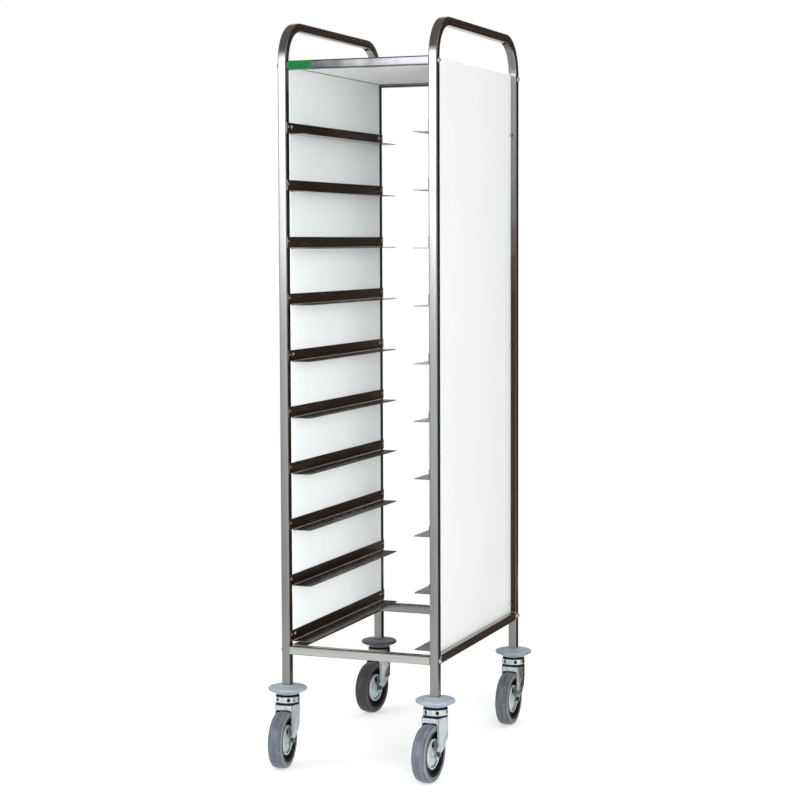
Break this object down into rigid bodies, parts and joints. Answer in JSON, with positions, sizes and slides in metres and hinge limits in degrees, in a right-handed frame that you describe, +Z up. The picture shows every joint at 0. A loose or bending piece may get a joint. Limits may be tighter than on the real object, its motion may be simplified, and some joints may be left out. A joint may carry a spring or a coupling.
{
  "type": "tray trolley",
  "caption": "Tall tray trolley with bent tube side frames that end in handles, folded sheet runners on both sides, white side panels and top board, and swivel casters.",
  "frame": {"origin": "floor level at the centre of the rectangle that the whole trolley covers", "axes": "+X to the right as seen from the open front, +Y from the front to the back, +Z up from the floor"},
  "size_m": [0.442, 0.7044, 1.662],
  "materials": {
    "frame_steel": "satin stainless tube",
    "runner_steel": "smooth stainless sheet",
    "white_laminate": "white laminate, slightly glossy",
    "label_green": "green enamelled plate, blank",
    "fastener_steel": "plain stainless",
    "dowel_wood": "plain beech, hidden",
    "bumper_rubber": "light blue-grey, matte",
    "zinc_steel": "bright zinc plated",
    "tyre_rubber": "grey non-marking rubber, matte",
    "hub_metal": "pressed disc, silver"
  },
  "bodies": {
    "frame": {"left_hoop": "frame_steel", "right_hoop": "frame_steel", "left_bottom_rail": "frame_steel", "right_bottom_rail": "frame_steel", "front_top_rail": "frame_steel", "rear_top_rail": "frame_steel", "front_bottom_rail": "frame_steel", "rear_bottom_rail": "frame_steel", "left_runner_01": "runner_steel", "left_runner_02": "runner_steel", "left_runner_03": "runner_steel", "left_runner_04": "runner_steel", "left_runner_05": "runner_steel", "left_runner_06": "runner_steel", "left_runner_07": "runner_steel", "left_runner_08": "runner_steel", "left_runner_09": "runner_steel", "left_runner_10": "runner_steel", "right_runner_01": "runner_steel", "right_runner_02": "runner_steel", "right_runner_03": "runner_steel", "right_runner_04": "runner_steel", "right_runner_05": "runner_steel", "right_runner_06": "runner_steel", "right_runner_07": "runner_steel", "right_runner_08": "runner_steel", "right_runner_09": "runner_steel", "right_runner_10": "runner_steel", "top_board": "white_laminate", "left_panel": "white_laminate", "right_panel": "white_laminate", "label_plate": "label_green", "frame_bolts": "fastener_steel", "panel_screws": "fastener_steel", "runner_rivets": "fastener_steel", "board_dowels": "dowel_wood", "front_left_bumper": "bumper_rubber", "front_left_swivel_head": "zinc_steel", "front_right_bumper": "bumper_rubber", "front_right_swivel_head": "zinc_steel", "rear_left_bumper": "bumper_rubber", "rear_left_swivel_head": "zinc_steel", "rear_right_bumper": "bumper_rubber", "rear_right_swivel_head": "zinc_steel"},
    "front_left_caster": {"front_left_fork": "zinc_steel", "front_left_axle": "zinc_steel"},
    "front_left_wheel": {"front_left_tyre": "tyre_rubber", "front_left_hub": "hub_metal"},
    "front_right_caster": {"front_right_fork": "zinc_steel", "front_right_axle": "zinc_steel"},
    "front_right_wheel": {"front_right_tyre": "tyre_rubber", "front_right_hub": "hub_metal"},
    "rear_left_caster": {"rear_left_fork": "zinc_steel", "rear_left_axle": "zinc_steel"},
    "rear_left_wheel": {"rear_left_tyre": "tyre_rubber", "rear_left_hub": "hub_metal"},
    "rear_right_caster": {"rear_right_fork": "zinc_steel", "rear_right_axle": "zinc_steel"},
    "rear_right_wheel": {"rear_right_tyre": "tyre_rubber", "rear_right_hub": "hub_metal"}
  },
  "joints": [
    {"name": "front_left_swivel", "type": "hinge", "parent": "frame", "child": "front_left_caster", "pos_m": [-0.177, -0.25181, 0.1365], "axis": [0, 0, 1], "continuous": true},
    {"name": "front_left_roll", "type": "hinge", "parent": "front_left_caster", "child": "front_left_wheel", "pos_m": [-0.17303, -0.28961, 0.0625], "axis": [0.9945, 0.1045, 0], "continuous": true},
    {"name": "front_right_swivel", "type": "hinge", "parent": "frame", "child": "front_right_caster", "pos_m": [0.177, -0.25181, 0.1365], "axis": [0, 0, 1], "continuous": true},
    {"name": "front_right_roll", "type": "hinge", "parent": "front_right_caster", "child": "front_right_wheel", "pos_m": [0.17468, -0.28974, 0.0625], "axis": [0.9981, -0.061, 0], "continuous": true},
    {"name": "rear_left_swivel", "type": "hinge", "parent": "frame", "child": "rear_left_caster", "pos_m": [-0.177, 0.30819, 0.1365], "axis": [0, 0, 1], "continuous": true},
    {"name": "rear_left_roll", "type": "hinge", "parent": "rear_left_caster", "child": "rear_left_wheel", "pos_m": [-0.18163, 0.27047, 0.0625], "axis": [0.9925, -0.1219, 0], "continuous": true},
    {"name": "rear_right_swivel", "type": "hinge", "parent": "frame", "child": "rear_right_caster", "pos_m": [0.177, 0.30819, 0.1365], "axis": [0, 0, 1], "continuous": true},
    {"name": "rear_right_roll", "type": "hinge", "parent": "rear_right_caster", "child": "rear_right_wheel", "pos_m": [0.177, 0.27019, 0.0625], "axis": [1, 0, 0], "continuous": true}
  ]
}
